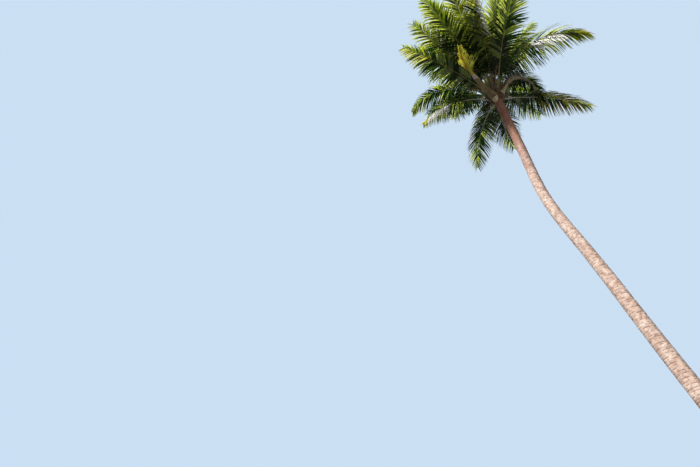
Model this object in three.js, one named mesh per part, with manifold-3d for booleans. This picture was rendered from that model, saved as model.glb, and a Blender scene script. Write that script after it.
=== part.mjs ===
// A coconut palm: a leaning ringed trunk, the heart of its crown, and the fronds that arch out of it.
// Millimetres and degrees. The origin is the middle of the cut under the trunk, at ground level. +Z is up,
// and +Y is away from the side that the palm is seen from, so its trunk leans towards -X.

import * as THREE from "three";
import { mergeVertices } from "three/addons/utils/BufferGeometryUtils.js";
import Module from "manifold-3d";

const wasm = await Module();
wasm.setup();

const UP = new THREE.Vector3(0, 0, 1);
const radians = THREE.MathUtils.degToRad;
const mix = THREE.MathUtils.lerp;

// Clear space between neighbours, and between the two parts of a frond that is parted at its bend
const CLEARANCE = 0.3;
const TIP_GAP = 0.4;

// Trunk
const TRUNK_HEIGHT = 18200;
const TRUNK_LEAN = [0, -1350, -2500, -2530];
const TRUNK_BOW = -170;
const TRUNK_BOW_HEIGHT = 13000;
const TRUNK_BOW_REACH = 2000;
const TRUNK_FOOT_RADIUS = 215;
const TRUNK_TOP_RADIUS = 132;
const TRUNK_TAPER_POWER = 1.6;
const ROOT_FLARE = 100;
const ROOT_FLARE_HEIGHT = 450;
const TRUNK_SIDES = 16;
const TRUNK_RINGS = 36;
const RING_SPACING_POWER = 1.6;

// Heart of the crown: the column of leaf bases that the fronds leave from, as pairs of radius and height
const HEART_PROFILE = [[134, 0], [205, 110], [228, 300], [208, 600], [150, 900], [62, 1150]];
const HEART_SIDES = 16;
const HEART_RINGS = 10;
const LOWEST_SEAT = 110;
const SEAT_RANGE = 900;
const SEAT_DEPTH = 45;

// Ribs: half their size at the tip, and what the plain taper and the broad foot add to it at the seat
const MIDLINE_STEPS = 48;
const ARCH_POWER = 1.5;
const BARE_SHARE_OLDEST = 0.2;
const BARE_SHARE_YOUNGEST = 0.08;
const BARE_STEPS = 3;
const RIB_TIP = 5;
const RIB_TAPER_WIDTH = 20;
const RIB_TAPER_DEPTH = 14;
const RIB_FOOT_WIDTH = 42;
const RIB_FOOT_DEPTH = 12;
const RIB_FOOT_SHARE = 0.07;

// Leaflets, each one standing for a few of the palm's narrow ones
const LEAFLET_PITCH = 185;
const LEAFLET_LENGTH = 900;
const FULL_FROND_LENGTH = 4000;
const LEAFLET_KNEE = 0.45;
const LEAFLET_WIDTH_SHARE = 0.62;
const LEAFLET_THICKNESS = 12;
const LEAFLET_ANGLE_AT_STALK = 68;
const LEAFLET_ANGLE_AT_TIP = 30;
const FULLNESS_START = 0.18;
const FULLNESS_RANGE = 0.74;
const FULLNESS_POWER = 0.8;
const HANG_AT_ROOT = 0.5;
const HANG_AT_TIP = 1.1;
const LEAST_HANG_AT_TIP = 0.3;

// A frond is: its name, then
// heading: the way it leaves the heart, 0 along +X and 90 along +Y
// rise: its slope there, and bend: how far it has arched over at its tip
// length: along its rib
// swing: how far it has turned sideways at its tip
// hang: how far its leaflets hang, from 0, spread flat, to 1
// seat: how high on the heart it sits, from 0, the oldest, to 1, the youngest
// and where it differs from the others:
// split: the share of its length where one that bends round a wide gap is parted in two
// bare: the share of its length that has no leaflets
// roll: how far its blade has turned about the rib at its tip
// open: how wide its leaflets stand, as a share of the usual angle
const FRONDS = [
  ["yellow_near", 252, 13, 38, 2500, 34, 0.25, 0.0, { bare: 0.5, open: 0.5 }],
  ["far_left", 128, 30, 55, 3400, -12, 0.6, 0.03],
  ["far_right", 99, 35, 42, 3500, -6, 0.7, 0.14],
  ["far_mid", 113, 50, 52, 3400, 4, 0.6, 0.3],
  ["right_low", 44, 22, 38, 3700, 0, 0.6, 0.05, { roll: 30 }],
  ["right_hook", 5, 66, 165, 2700, 120, 0.9, 0.12, { split: 0.5 }],
  ["far_right_mid", 70, 48, 52, 3400, 0, 0.6, 0.24],
  ["left_low", 186, 46, 95, 2900, 0, 0.8, 0.06, { split: 0.6, roll: 30 }],
  ["left_hook", 208, 48, 112, 3300, -25, 0.7, 0.28, { split: 0.6 }],
  ["left_mid", 235, 38, 46, 3600, 2, 0.5, 0.1],
  ["left_up", 243, 46, 44, 3700, 8, 0.45, 0.34],
  ["near_left", 260, 50, 58, 4100, 0, 0.5, 0.2],
  ["near_left_up", 274, 52, 50, 4000, 0, 0.45, 0.5],
  ["near", 289, 50, 45, 3800, -4, 0.45, 0.38],
  ["near_right", 310, 42, 50, 3700, -2, 0.4, 0.18],
  ["near_right_high", 310, 60, 40, 3600, -4, 0.4, 0.56],
  ["right_back", 347, 60, 50, 2800, -4, 0.5, 0.46],
  ["right_up", 0, 66, 98, 4850, 34, 0.8, 0.3, { split: 0.55, roll: 35 }],
  ["far_right_up", 62, 62, 60, 3700, 0, 0.6, 0.36],
  ["far_up", 96, 62, 60, 3600, 0, 0.5, 0.48],
  ["far_left_up", 138, 66, 55, 3600, 0, 0.5, 0.42],
  ["left_back", 166, 60, 55, 3400, 0, 0.6, 0.26],
  ["left_high", 216, 66, 50, 3600, 0, 0.45, 0.52],
  ["near_up", 254, 70, 40, 3700, 0, 0.3, 0.62],
  ["near_right_up", 326, 72, 40, 3600, 0, 0.3, 0.7],
  ["right_high", 28, 74, 40, 3500, 0, 0.3, 0.66],
  ["far_high", 112, 76, 35, 3400, 0, 0.25, 0.74],
  ["left_top", 185, 78, 28, 3300, 0, 0.2, 0.78],
  ["near_top", 283, 80, 22, 3200, 0, 0.2, 0.86],
].map(limb);

// The unopened leaf that stands at the top of the heart, and the old flower stalks between the fronds
const SPEAR = limb(["spear_leaf", 20, 85, 4, 2400, 0, 0, 1.0]);
const FLOWER_STALKS = [
  ["flower_stalk_near", 276, 30, 70, 900, 0, 0, 0.06],
  ["flower_stalk_right", 338, 35, 75, 950, 10, 0, 0.06],
  ["flower_stalk_near_right", 300, 48, 60, 850, 0, 0, 0.26],
  ["flower_stalk_left", 222, 45, 65, 850, 0, 0, 0.2],
  ["flower_stalk_far", 82, 40, 70, 850, 0, 0, 0.06],
].map(limb);
const SPEAR_GIRTH = 0.8;
const FLOWER_STALK_GIRTH = 0.55;
const STALK_STEPS = 8;

// Colour and roughness of each kind of part
const BARK = { color: 0xa98f80, roughness: 0.9 };
const HEART_FIBRE = { color: 0x6b5a3c, roughness: 0.95 };
const GREEN_LEAF = { color: 0x5d7a34, roughness: 0.6 };
const YELLOW_LEAF = { color: 0xc9a832, roughness: 0.6 };
const YOUNG_LEAF = { color: 0x9aa85a, roughness: 0.7 };
const DRY_STALK = { color: 0xb09a6a, roughness: 0.85 };

function limb([name, heading, rise, bend, length, swing, hang, seat, special]) {
  const bare = mix(BARE_SHARE_OLDEST, BARE_SHARE_YOUNGEST, seat);
  return { name, heading, rise, bend, length, swing, hang, seat, split: 0, bare, roll: 0, open: 1, ...special };
}

// The trunk's centreline: four controls evenly spaced in height, so that height runs evenly along it, and a bow
// that stands out sideways most at its own height
function trunkAxis(height) {
  const t = height / TRUNK_HEIGHT;
  const [a, b, c, d] = TRUNK_LEAN;
  const lean = a * (1 - t) ** 3 + 3 * b * (1 - t) ** 2 * t + 3 * c * (1 - t) * t ** 2 + d * t ** 3;
  const bow = TRUNK_BOW * Math.exp(-(((height - TRUNK_BOW_HEIGHT) / TRUNK_BOW_REACH) ** 2));
  return new THREE.Vector3(lean + bow, 0, height);
}

function trunkRadius(height) {
  const taper = (1 - height / TRUNK_HEIGHT) ** TRUNK_TAPER_POWER;
  const flare = ROOT_FLARE * Math.exp(-height / ROOT_FLARE_HEIGHT);
  return mix(TRUNK_TOP_RADIUS, TRUNK_FOOT_RADIUS, taper) + flare;
}

const HEART_FOOT = trunkAxis(TRUNK_HEIGHT).add(new THREE.Vector3(0, 0, CLEARANCE));
const heartCurve = new THREE.SplineCurve(HEART_PROFILE.map(([r, h]) => new THREE.Vector2(r, h)));
const heartOutline = heartCurve.getPoints(HEART_RINGS);

function heartRadius(height) {
  const above = heartOutline.findIndex((point) => point.y > height);
  if (above < 1) return heartOutline.at(above).x;
  const low = heartOutline[above - 1];
  const high = heartOutline[above];
  return mix(low.x, high.x, (height - low.y) / (high.y - low.y));
}

// A closed mesh with its shared corners merged and its empty triangles dropped
function closedGeometry(geometry) {
  const bare = geometry.clone();
  bare.deleteAttribute("normal");
  bare.deleteAttribute("uv");
  const merged = mergeVertices(bare, 1e-3);
  const corners = [];
  for (let i = 0; i < merged.index.count; i += 3) {
    const [a, b, c] = [0, 1, 2].map((k) => merged.index.getX(i + k));
    if (a !== b && b !== c && c !== a) corners.push(a, b, c);
  }
  merged.setIndex(corners);
  return merged;
}

function toSolid(geometry) {
  const vertProperties = Float32Array.from(geometry.attributes.position.array);
  const triVerts = Uint32Array.from(geometry.index.array);
  return new wasm.Manifold(new wasm.Mesh({ numProp: 3, vertProperties, triVerts }));
}

function toGeometry(solid) {
  const mesh = solid.getMesh();
  const geometry = new THREE.BufferGeometry();
  geometry.setAttribute("position", new THREE.Float32BufferAttribute(mesh.vertProperties, 3));
  geometry.setIndex(Array.from(mesh.triVerts));
  return geometry;
}

function meshGeometry(points, corners) {
  const geometry = new THREE.BufferGeometry();
  geometry.setAttribute("position", new THREE.Float32BufferAttribute(points.flatMap((p) => p.toArray()), 3));
  geometry.setIndex(corners);
  return geometry;
}

// A turned column: its profile starts and ends on the axis, and each point moves sideways with the centreline
function column(profile, sides, centre) {
  const outline = profile.map(([radius, height]) => new THREE.Vector2(radius, height));
  const geometry = new THREE.LatheGeometry(outline, sides);
  geometry.rotateX(Math.PI / 2);
  geometry.scale(1, -1, 1);
  const positions = geometry.attributes.position;
  for (let i = 0; i < positions.count; i += 1) {
    const middle = centre(positions.getZ(i));
    positions.setX(i, positions.getX(i) + middle.x);
    positions.setY(i, positions.getY(i) + middle.y);
  }
  const index = Array.from(geometry.index.array);
  for (let i = 0; i < index.length; i += 3) {
    [index[i + 1], index[i + 2]] = [index[i + 2], index[i + 1]];
  }
  geometry.setIndex(index);
  return closedGeometry(geometry);
}

function trunkGeometry() {
  const profile = [[0, 0]];
  for (let ring = 0; ring <= TRUNK_RINGS; ring += 1) {
    const height = TRUNK_HEIGHT * (ring / TRUNK_RINGS) ** RING_SPACING_POWER;
    profile.push([trunkRadius(height), height]);
  }
  profile.push([0, TRUNK_HEIGHT]);
  return column(profile, TRUNK_SIDES, trunkAxis);
}

// The heart, or a shape that stands the given distance outside it
function heartGeometry(outside) {
  const profile = [[0, -outside]];
  for (const point of heartOutline) {
    profile.push([point.x + outside, point.y - (point.y === 0 ? outside : 0)]);
  }
  const top = heartOutline.at(-1).y + outside;
  profile.push([heartOutline.at(-1).x + outside, top], [0, top]);
  const geometry = column(profile, HEART_SIDES, () => new THREE.Vector3(HEART_FOOT.x, HEART_FOOT.y, 0));
  geometry.translate(0, 0, HEART_FOOT.z);
  return geometry;
}

// The way a frond's rib runs at share s of its length, with the directions across and out of its blade
function ribFrame(frond, s) {
  const slope = radians(frond.rise - frond.bend * s ** ARCH_POWER);
  const heading = radians(frond.heading + frond.swing * s ** ARCH_POWER);
  const along = new THREE.Vector3(
    Math.cos(heading) * Math.cos(slope),
    Math.sin(heading) * Math.cos(slope),
    Math.sin(slope),
  );
  const across = new THREE.Vector3(-Math.sin(heading), Math.cos(heading), 0);
  across.applyAxisAngle(along, radians(frond.roll * s));
  const out = along.clone().cross(across);
  return { along, across, out };
}

// The rib's midline, summed in even steps from the frond's seat on the heart
function ribMidline(frond) {
  const seatHeight = LOWEST_SEAT + SEAT_RANGE * frond.seat;
  const reach = heartRadius(seatHeight) - SEAT_DEPTH;
  const heading = radians(frond.heading);
  const seat = new THREE.Vector3(Math.cos(heading) * reach, Math.sin(heading) * reach, seatHeight);
  const points = [seat.add(HEART_FOOT)];
  for (let step = 0; step < MIDLINE_STEPS; step += 1) {
    const { along } = ribFrame(frond, (step + 0.5) / MIDLINE_STEPS);
    points.push(points.at(-1).clone().addScaledVector(along, frond.length / MIDLINE_STEPS));
  }
  return points;
}

function pointAt(midline, s) {
  const place = Math.min(s * MIDLINE_STEPS, MIDLINE_STEPS - 1e-9);
  const step = Math.floor(place);
  return midline[step].clone().lerp(midline[step + 1], place - step);
}

// Half the rib's width or depth at share s: a plain taper to its tip, and a broad foot at its seat
function ribHalf(s, taper, foot) {
  return RIB_TIP + taper * (1 - s) + foot * Math.exp(-s / RIB_FOOT_SHARE);
}

// Four corners round the rib at share s: left and right above, then right and left below
function ribRing(frond, midline, s, girth) {
  const { across, out } = ribFrame(frond, s);
  const centre = pointAt(midline, s);
  const width = girth * ribHalf(s, RIB_TAPER_WIDTH, RIB_FOOT_WIDTH);
  const depth = girth * ribHalf(s, RIB_TAPER_DEPTH, RIB_FOOT_DEPTH);
  return [[1, 1], [-1, 1], [-1, -1], [1, -1]].map(([side, level]) =>
    centre.clone().addScaledVector(across, side * width).addScaledVector(out, level * depth),
  );
}

// Leaflets are longest near the middle of the blade, whose share runs from 0 at the first of them to 1
function leafletLength(frond, share) {
  const fullness = Math.sin(Math.PI * (FULLNESS_START + FULLNESS_RANGE * share)) ** FULLNESS_POWER;
  return LEAFLET_LENGTH * (frond.length / FULL_FROND_LENGTH) * fullness;
}

// The nine corners of one leaflet: its root on the rib, the ring at its knee, and its tip
function leafletCorners(frond, midline, from, to, side, root, fit) {
  const s = (from + to) / 2;
  const { along, across } = ribFrame(frond, s);
  const share = (s - frond.bare) / (1 - frond.bare);
  const angle = radians(frond.open * mix(LEAFLET_ANGLE_AT_STALK, LEAFLET_ANGLE_AT_TIP, share));
  const spread = along.clone().multiplyScalar(Math.cos(angle));
  spread.addScaledVector(across, side * Math.sin(angle));
  const rootHang = HANG_AT_ROOT * frond.hang + fit.hang;
  const tipHang = LEAST_HANG_AT_TIP + HANG_AT_TIP * frond.hang + fit.hang;
  const first = spread.clone().addScaledVector(UP, -rootHang).normalize();
  const second = spread.clone().addScaledVector(UP, -tipHang).normalize();
  const length = leafletLength(frond, share) * fit.size;
  const start = root.reduce((sum, p) => sum.add(p), new THREE.Vector3()).divideScalar(4);
  const knee = start.clone().addScaledVector(first, length * LEAFLET_KNEE);
  const tip = knee.clone().addScaledVector(second, length * (1 - LEAFLET_KNEE));
  const edge = along.clone().addScaledVector(first, -along.dot(first)).normalize();
  const face = edge.clone().cross(first).multiplyScalar(side).normalize();
  const halfWidth = (LEAFLET_WIDTH_SHARE * frond.length * (to - from)) / 2;
  const ring = [[-1, 1], [1, 1], [1, -1], [-1, -1]].map(([end, level]) =>
    knee.clone().addScaledVector(edge, end * halfWidth).addScaledVector(face, level * LEAFLET_THICKNESS / 2),
  );
  return [...root, ...ring, tip];
}

// Two triangles of the four-sided face a b c d
function quad(a, b, c, d) {
  return [a, b, c, a, c, d];
}

// Triangles of a leaflet's sides and tip. Its corners are root 0 to 3, ring 4 to 7 and tip 8.
function leafletSkin(number, mirrored) {
  const corners = [];
  for (let i = 0; i < 4; i += 1) {
    const j = (i + 1) % 4;
    corners.push(...quad(number(i), number(j), number(j + 4), number(i + 4)));
    corners.push(number(i + 4), number(j + 4), number(8));
  }
  return mirrored ? corners.reverse() : corners;
}

function leafletSolid(points, mirrored) {
  const skin = leafletSkin((i) => i, mirrored);
  const cap = mirrored ? quad(0, 1, 2, 3) : quad(3, 2, 1, 0);
  return toSolid(meshGeometry(points, [...skin, ...cap]));
}

// The shares of the rib's length where its rings stand, with the leaflets between the later ones
function ribStations(frond) {
  const pitches = Math.round((frond.length * (1 - frond.bare)) / LEAFLET_PITCH);
  const bare = Array.from({ length: BARE_STEPS }, (_, i) => (frond.bare * i) / BARE_STEPS);
  const leafy = Array.from({ length: pitches + 1 }, (_, i) => mix(frond.bare, 1, i / pitches));
  return [...bare, ...leafy];
}

// One closed skin over a run of the rib and the leaflets that grow out of its sides
function bladeGeometry(rings, leaflets) {
  const points = rings.flat();
  const corners = quad(3, 2, 1, 0);
  for (let k = 0; k + 1 < rings.length; k += 1) {
    const here = 4 * k;
    const next = here + 4;
    corners.push(...quad(here, here + 1, next + 1, next));
    corners.push(...quad(here + 2, here + 3, next + 3, next + 2));
    for (const side of [1, -1]) {
      const root = side > 0 ? [here, next, next + 3, here + 3] : [here + 1, next + 1, next + 2, here + 2];
      const leaflet = leaflets.find((item) => item.ring === k && item.side === side);
      if (leaflet) {
        const first = points.length;
        points.push(...leaflet.points.slice(4));
        corners.push(...leafletSkin((i) => (i < 4 ? root[i] : first + i - 4), side < 0));
      } else {
        const face = quad(...root);
        corners.push(...(side < 0 ? face.reverse() : face));
      }
    }
  }
  const last = 4 * (rings.length - 1);
  corners.push(...quad(last, last + 1, last + 2, last + 3));
  return meshGeometry(points, corners);
}

const heartSolid = toSolid(heartGeometry(0));
const heartRoom = toSolid(heartGeometry(CLEARANCE));
const trunkSolid = toSolid(trunkGeometry());

// The largest piece of a stalk once the room round the heart is cut out of it
function seatOnHeart(geometry) {
  const pieces = toSolid(geometry).subtract(heartRoom).decompose();
  return pieces.reduce((best, piece) => (piece.volume() > best.volume() ? piece : best));
}

// Solids that a leaflet has to stay clear of, each with the part that it belongs to
const placed = [];

function place(owner, solid) {
  placed.push({ owner, solid, box: solid.boundingBox() });
}

function boxesMeet(a, b) {
  return [0, 1, 2].every((k) => a.min[k] - CLEARANCE < b.max[k] && b.min[k] - CLEARANCE < a.max[k]);
}

function isClear(owner, solid) {
  const box = solid.boundingBox();
  return placed.every((other) => {
    if (other.owner === owner || !boxesMeet(box, other.box)) return true;
    return solid.minGap(other.solid, 2 * CLEARANCE) >= CLEARANCE;
  });
}

// A leaflet hangs more, or less, or is shorter where another limb is in its way, and is skipped past that
const FITS = [
  { hang: 0, size: 1 },
  { hang: 0.25, size: 1 },
  { hang: -0.25, size: 1 },
  { hang: 0.5, size: 0.95 },
  { hang: -0.45, size: 0.95 },
  { hang: 0, size: 0.7 },
  { hang: 0.4, size: 0.65 },
  { hang: -0.4, size: 0.65 },
  { hang: 0, size: 0.42 },
];

function growLeaflet(frond, midline, rings, stations, k, side) {
  const root = side > 0
    ? [rings[k][0], rings[k + 1][0], rings[k + 1][3], rings[k][3]]
    : [rings[k][1], rings[k + 1][1], rings[k + 1][2], rings[k][2]];
  for (const fit of FITS) {
    const points = leafletCorners(frond, midline, stations[k], stations[k + 1], side, root, fit);
    const solid = leafletSolid(points, side < 0);
    if (isClear(frond.name, solid)) {
      place(frond.name, solid);
      return { ring: k, side, points };
    }
    solid.delete();
  }
  return null;
}

const group = new THREE.Group();

function addPart(name, geometry, finish) {
  const mesh = new THREE.Mesh(geometry, new THREE.MeshStandardMaterial({ ...finish, metalness: 0 }));
  mesh.name = name;
  group.add(mesh);
}

// A bare tapering stalk, seated on the heart
function addStalk(stalk, girth, finish) {
  const midline = ribMidline(stalk);
  const shares = Array.from({ length: STALK_STEPS + 1 }, (_, i) => i / STALK_STEPS);
  const rings = shares.map((s) => ribRing(stalk, midline, s, girth));
  const solid = seatOnHeart(bladeGeometry(rings, []));
  place(stalk.name, solid);
  addPart(stalk.name, toGeometry(solid), finish);
}

// A frond's rib with no leaflets yet. All ribs are placed first, so that no leaflet takes a rib's room.
function placeRib(frond) {
  const midline = ribMidline(frond);
  const stations = ribStations(frond);
  const rings = stations.map((s) => ribRing(frond, midline, s, 1));
  place(frond.name, seatOnHeart(bladeGeometry(rings, [])));
  return { frond, midline, stations, rings };
}

function growLeaflets({ frond, midline, stations, rings }) {
  const leaflets = [];
  for (let k = BARE_STEPS; k + 1 < stations.length; k += 1) {
    for (const side of [1, -1]) {
      const leaflet = growLeaflet(frond, midline, rings, stations, k, side);
      if (leaflet) leaflets.push(leaflet);
    }
  }
  return leaflets;
}

// The blade from one ring to another. Its first ring moves along by the gap to the blade before it.
function bladeRun(rings, leaflets, first, last, gap) {
  const run = rings.slice(first, last + 1);
  const forward = run[1][0].clone().sub(run[0][0]).normalize();
  run[0] = run[0].map((corner) => corner.clone().addScaledVector(forward, gap));
  const grown = leaflets
    .filter((item) => item.ring >= first && item.ring < last)
    .map((item) => ({ ...item, ring: item.ring - first }));
  return bladeGeometry(run, grown);
}

function addFrond(rib) {
  const { frond, stations, rings } = rib;
  const leaflets = growLeaflets(rib);
  const finish = frond.name.startsWith("yellow") ? YELLOW_LEAF : GREEN_LEAF;
  const end = stations.length - 1;
  const bend = frond.split ? stations.findIndex((s) => s > frond.split) : end;
  const inner = bladeRun(rings, leaflets, 0, bend, 0);
  addPart(`frond_${frond.name}`, toGeometry(seatOnHeart(inner)), finish);
  if (bend < end) {
    const outer = bladeRun(rings, leaflets, bend, end, TIP_GAP);
    addPart(`frond_${frond.name}_tip`, closedGeometry(outer), finish);
  }
}

place("trunk", trunkSolid);
place("crown_heart", heartSolid);
addPart("trunk", toGeometry(trunkSolid), BARK);
addPart("crown_heart", toGeometry(heartSolid), HEART_FIBRE);
addStalk(SPEAR, SPEAR_GIRTH, YOUNG_LEAF);
for (const stalk of FLOWER_STALKS) addStalk(stalk, FLOWER_STALK_GIRTH, DRY_STALK);
for (const rib of FRONDS.map(placeRib)) addFrond(rib);

export default group;
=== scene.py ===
import collections
import math

import bpy
import numpy as np
from mathutils import Matrix, Vector
from mathutils.bvhtree import BVHTree


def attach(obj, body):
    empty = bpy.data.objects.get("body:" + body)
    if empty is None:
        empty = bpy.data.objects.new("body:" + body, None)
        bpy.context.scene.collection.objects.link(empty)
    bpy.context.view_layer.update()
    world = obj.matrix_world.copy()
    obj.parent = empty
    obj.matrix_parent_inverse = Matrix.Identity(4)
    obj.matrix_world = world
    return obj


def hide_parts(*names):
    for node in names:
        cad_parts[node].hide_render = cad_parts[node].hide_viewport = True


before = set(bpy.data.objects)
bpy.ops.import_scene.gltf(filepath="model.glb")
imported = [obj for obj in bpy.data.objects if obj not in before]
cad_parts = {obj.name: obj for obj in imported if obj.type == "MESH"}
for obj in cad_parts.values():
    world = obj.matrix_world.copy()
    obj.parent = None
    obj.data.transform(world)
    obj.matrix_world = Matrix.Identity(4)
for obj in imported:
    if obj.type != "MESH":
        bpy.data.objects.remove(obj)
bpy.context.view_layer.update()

# A coconut palm's looks: bark with its leaf scars, the fibrous heart, and fronds of many narrow leaflets.
# Metres and degrees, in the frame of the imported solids, whose rules for trunk, ribs and leaflets are
# written again here.

# Starts of the runs of chance
SEEDS = {"heart": 5, "trunk": 11, "fibre": 21, "flower_stalks": 31, "ribs": 41, "leaflets": 100}

# Trunk, as in the solids
TRUNK_HEIGHT = 18.2
TRUNK_LEAN = (0.0, -1.35, -2.5, -2.53)
TRUNK_BOW = -0.17
TRUNK_BOW_HEIGHT = 13.0
TRUNK_BOW_REACH = 2.0
TRUNK_FOOT_RADIUS = 0.215
TRUNK_TOP_RADIUS = 0.132
TRUNK_TAPER_POWER = 1.6
ROOT_FLARE = 0.1
ROOT_FLARE_HEIGHT = 0.45
CLEARANCE = 0.0003

# Leaf scars on the bark. The phases are places from one scar to the next, with their relief and shade
TRUNK_SIDES = 56
SCAR_PITCH_AT_FOOT = 0.078
SCAR_PITCH_AT_TOP = 0.062
SCAR_PITCH_SPREAD = 0.25
SCAR_TILT = 0.012
SCAR_TILT_FADE = 0.3
SCAR_TURN = 144
SCAR_TURN_SPREAD = 0.5
SCAR_PHASES = (0.0, 0.12, 0.4, 0.7, 0.92)
SCAR_RELIEF = (-0.0035, 0.0002, 0.0, 0.0018, 0.0045)
SCAR_SHADE = (1.0, 0.5, 0.0, 0.0, 0.3)
SCAR_WAVES = 9
SCAR_WAVE_SHIFT = 7
SCAR_STRENGTH = 0.7
SCAR_STRENGTH_SPREAD = 0.3
SCAR_STRENGTH_LIMIT = 1.5
BARK_UNEVENNESS = 0.0016
FLARE_LOBES = 7
FLARE_LOBE_DEPTH = 0.022
FLARE_LOBE_SHIFT = 0.6
FLARE_LOBE_HEIGHT = 0.8 * ROOT_FLARE_HEIGHT

# Heart of the crown, as in the solids: pairs of radius and height above the trunk
HEART_PROFILE = ((0.134, 0.0), (0.205, 0.11), (0.228, 0.3), (0.208, 0.6), (0.15, 0.9), (0.062, 1.15))
LOWEST_SEAT = 0.11
SEAT_RANGE = 0.9
SEAT_DEPTH = 0.045
HEART_RINGS = 60
HEART_SIDES = 48
HEART_UNEVENNESS = 0.003

# Old leaf bases that spiral up the heart
WRAP_HEIGHT = 0.16
WRAPS_IN_A_TURN = 2
WRAP_INSET = 0.014
WRAP_DEPTH = 0.018

# Leaf bases that clasp the heart, from below a frond's seat to where its rib is plain. Drops and reaches
# are places on them. Widths and depths run along them and end at shares of the rib's own. The last three
# ends are where their dry parts stop, where their dry edges and the painted shade near the heart stop, and
# where the painted highlight at the banded frond's foot stops
BASE_DROP = 0.32
BASE_DROPS = (1.0, 0.5, 0.08)
BASE_LIFT = 0.015
BASE_REACH = 0.5
BASE_REACHES = (0.3, 0.62, 1.0)
BASE_HALF_WIDTHS = (0.05, 0.13, 0.15, 0.115, 0.08)
BASE_HALF_DEPTHS = (0.004, 0.011, 0.018, 0.022, 0.022)
BASE_END_WIDTH = 0.9
BASE_END_DEPTH = 0.85
BASE_RINGS = 18
BASE_DRY_END = 0.28
BASE_FOOT_END = 0.75
BANDED_HIGHLIGHT_END = 0.4
TROUGH_POINTS = 11
TROUGH_LEAST_BEND = 1.02
TROUGH_THINNING = 0.9

# Woven fibre between the leaf bases, and its loose strands
FIBRE_TURNS = (-0.55, 0.55)
FIBRE_TURN_SPREAD = 0.15
FIBRE_SEAT_SHARE = 0.85
FIBRE_HALF_ANGLE = 0.4
FIBRE_RINGS = 8
FIBRE_HALF_THICKNESS = 0.0025
FIBRE_BELOW = 0.14
FIBRE_TOPS = (0.2, 0.42)
FIBRE_TOP_ROUND = 0.12
FIBRE_TOP_RAGGED = 0.05
FIBRE_STAND_OFF = 0.016
FIBRE_FLARE = 0.07
FIBRE_UNEVENNESS = 0.006
STRANDS = 320
STRAND_RADIUS = 0.0022
STRAND_STEPS = 6
STRAND_SIDES = 4
STRAND_HEIGHTS = (-0.05, 0.9)
STRAND_STAND_OFF = 0.02
STRAND_RISES = (-0.5, 0.9)
STRAND_LENGTHS = (0.1, 0.34)
STRAND_DROOPS = (0.3, 1.6)
STRAND_CURLS = (-0.5, 0.5)
STRAND_NUDGE = 0.01
STRAND_THINNING = 0.7

# Old flower stalks: thin branchlets, smaller towards the stalk's end, and the dry sheath it grew out of
BRANCHLETS = 34
BRANCHLETS_FROM = 0.4
BRANCHLET_LENGTH = 0.36
BRANCHLET_LENGTHS = (0.6, 1.0)
BRANCHLET_SIZES = (1.2, 0.7)
BRANCHLET_RADIUS = 0.0045
BRANCHLET_STEPS = 8
BRANCHLET_SPREAD = 0.8
BRANCHLET_DROOPS = (0.6, 1.6)
SHEATH_LENGTH = 0.65
SHEATH_HALF_WIDTH = 0.055
SHEATH_HALF_THICKNESS = 0.005
SHEATH_ENDS = (0.12, 0.98)
SHEATH_END_POWER = 0.8
SHEATH_BEND = 1.05
SHEATH_STAND_OFF = 0.03
SHEATH_ARCH = 0.14

# Unopened leaf: places along it with its radii, and its pleats
SPEAR_PLACES = (0, 0.12, 0.5, 1)
SPEAR_RADII = (0.05, 0.034, 0.028, 0.005)
SPEAR_PLEATS = 8
SPEAR_PLEAT_DEPTH = 0.16
SPEAR_TWIST = 5

# Ribs, as in the solids
MIDLINE_STEPS = 48
ARCH_POWER = 1.5
BARE_SHARE_OLDEST = 0.2
BARE_SHARE_YOUNGEST = 0.08
RIB_TIP = 0.005
RIB_TAPER_WIDTH = 0.02
RIB_TAPER_DEPTH = 0.014
RIB_FOOT_WIDTH = 0.042
RIB_FOOT_DEPTH = 0.012
RIB_FOOT_SHARE = 0.07
RIB_RINGS = 70
RIB_RINGS_POWER = 1.15
RIB_SIDES = 12

# Shares of the stalk, the rib's bare part: where it starts to slim, and where its section turns from
# hollowed to ridged. The least shares are of the whole rib
STALK_SLIMS_FROM = 0.8
STALK_SLIMS_BY = 1.4
STALK_SLIMS_LEAST = 0.01
STALK_HOLLOW_TO = 0.6
STALK_TURNS_OVER = 0.8
STALK_TURNS_LEAST = 0.05
HOLLOW_MIDDLE = 0.35
HOLLOW_RISE = 0.25
RIDGE_POWER = 1.6

# Leaflets: the solids' lengths and angles, at the real number and width. The hang is the root's at
# HANG_FROM of a leaflet's length, and the tip's HANG_OVER further on. CLOSED_LENGTHS are those of a half
# closed frond, at its stalk and at its end
LEAFLET_PITCH = 0.031
LEAFLET_LENGTH = 0.9
LEAFLET_WIDTH = 0.05
LEAFLET_THICKNESS = 0.003
LEAFLET_THINNING = 0.7
LEAFLET_FOLD = 28
FULL_FROND_LENGTH = 4.0
LEAFLET_ANGLE_AT_STALK = 68
LEAFLET_ANGLE_AT_TIP = 30
FULLNESS_START = 0.18
FULLNESS_RANGE = 0.74
FULLNESS_POWER = 0.8
HANG_AT_ROOT = 0.5
HANG_AT_TIP = 1.1
LEAST_HANG_AT_TIP = 0.3
HANG_FROM = 0.225
HANG_OVER = 0.5
CLOSED_LENGTHS = (1.05, 0.35)
LEAFLET_STEPS = 8
LEAFLET_SIDES = 4
LAST_LEAFLET = 0.99
ROOT_ASIDE = 0.8
ROOT_RAISED = 0.35

# Leaflets' outline: its width at the root, how fast it widens, the powers that round its end, and the
# length with full width, with the least and most of that
OUTLINE_ROOT = 0.45
OUTLINE_WIDENS = 4
OUTLINE_POWERS = (2.6, 0.9)
FULL_WIDTH_LENGTH = 0.75
WIDTH_RANGE = (0.55, 1.05)

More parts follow.
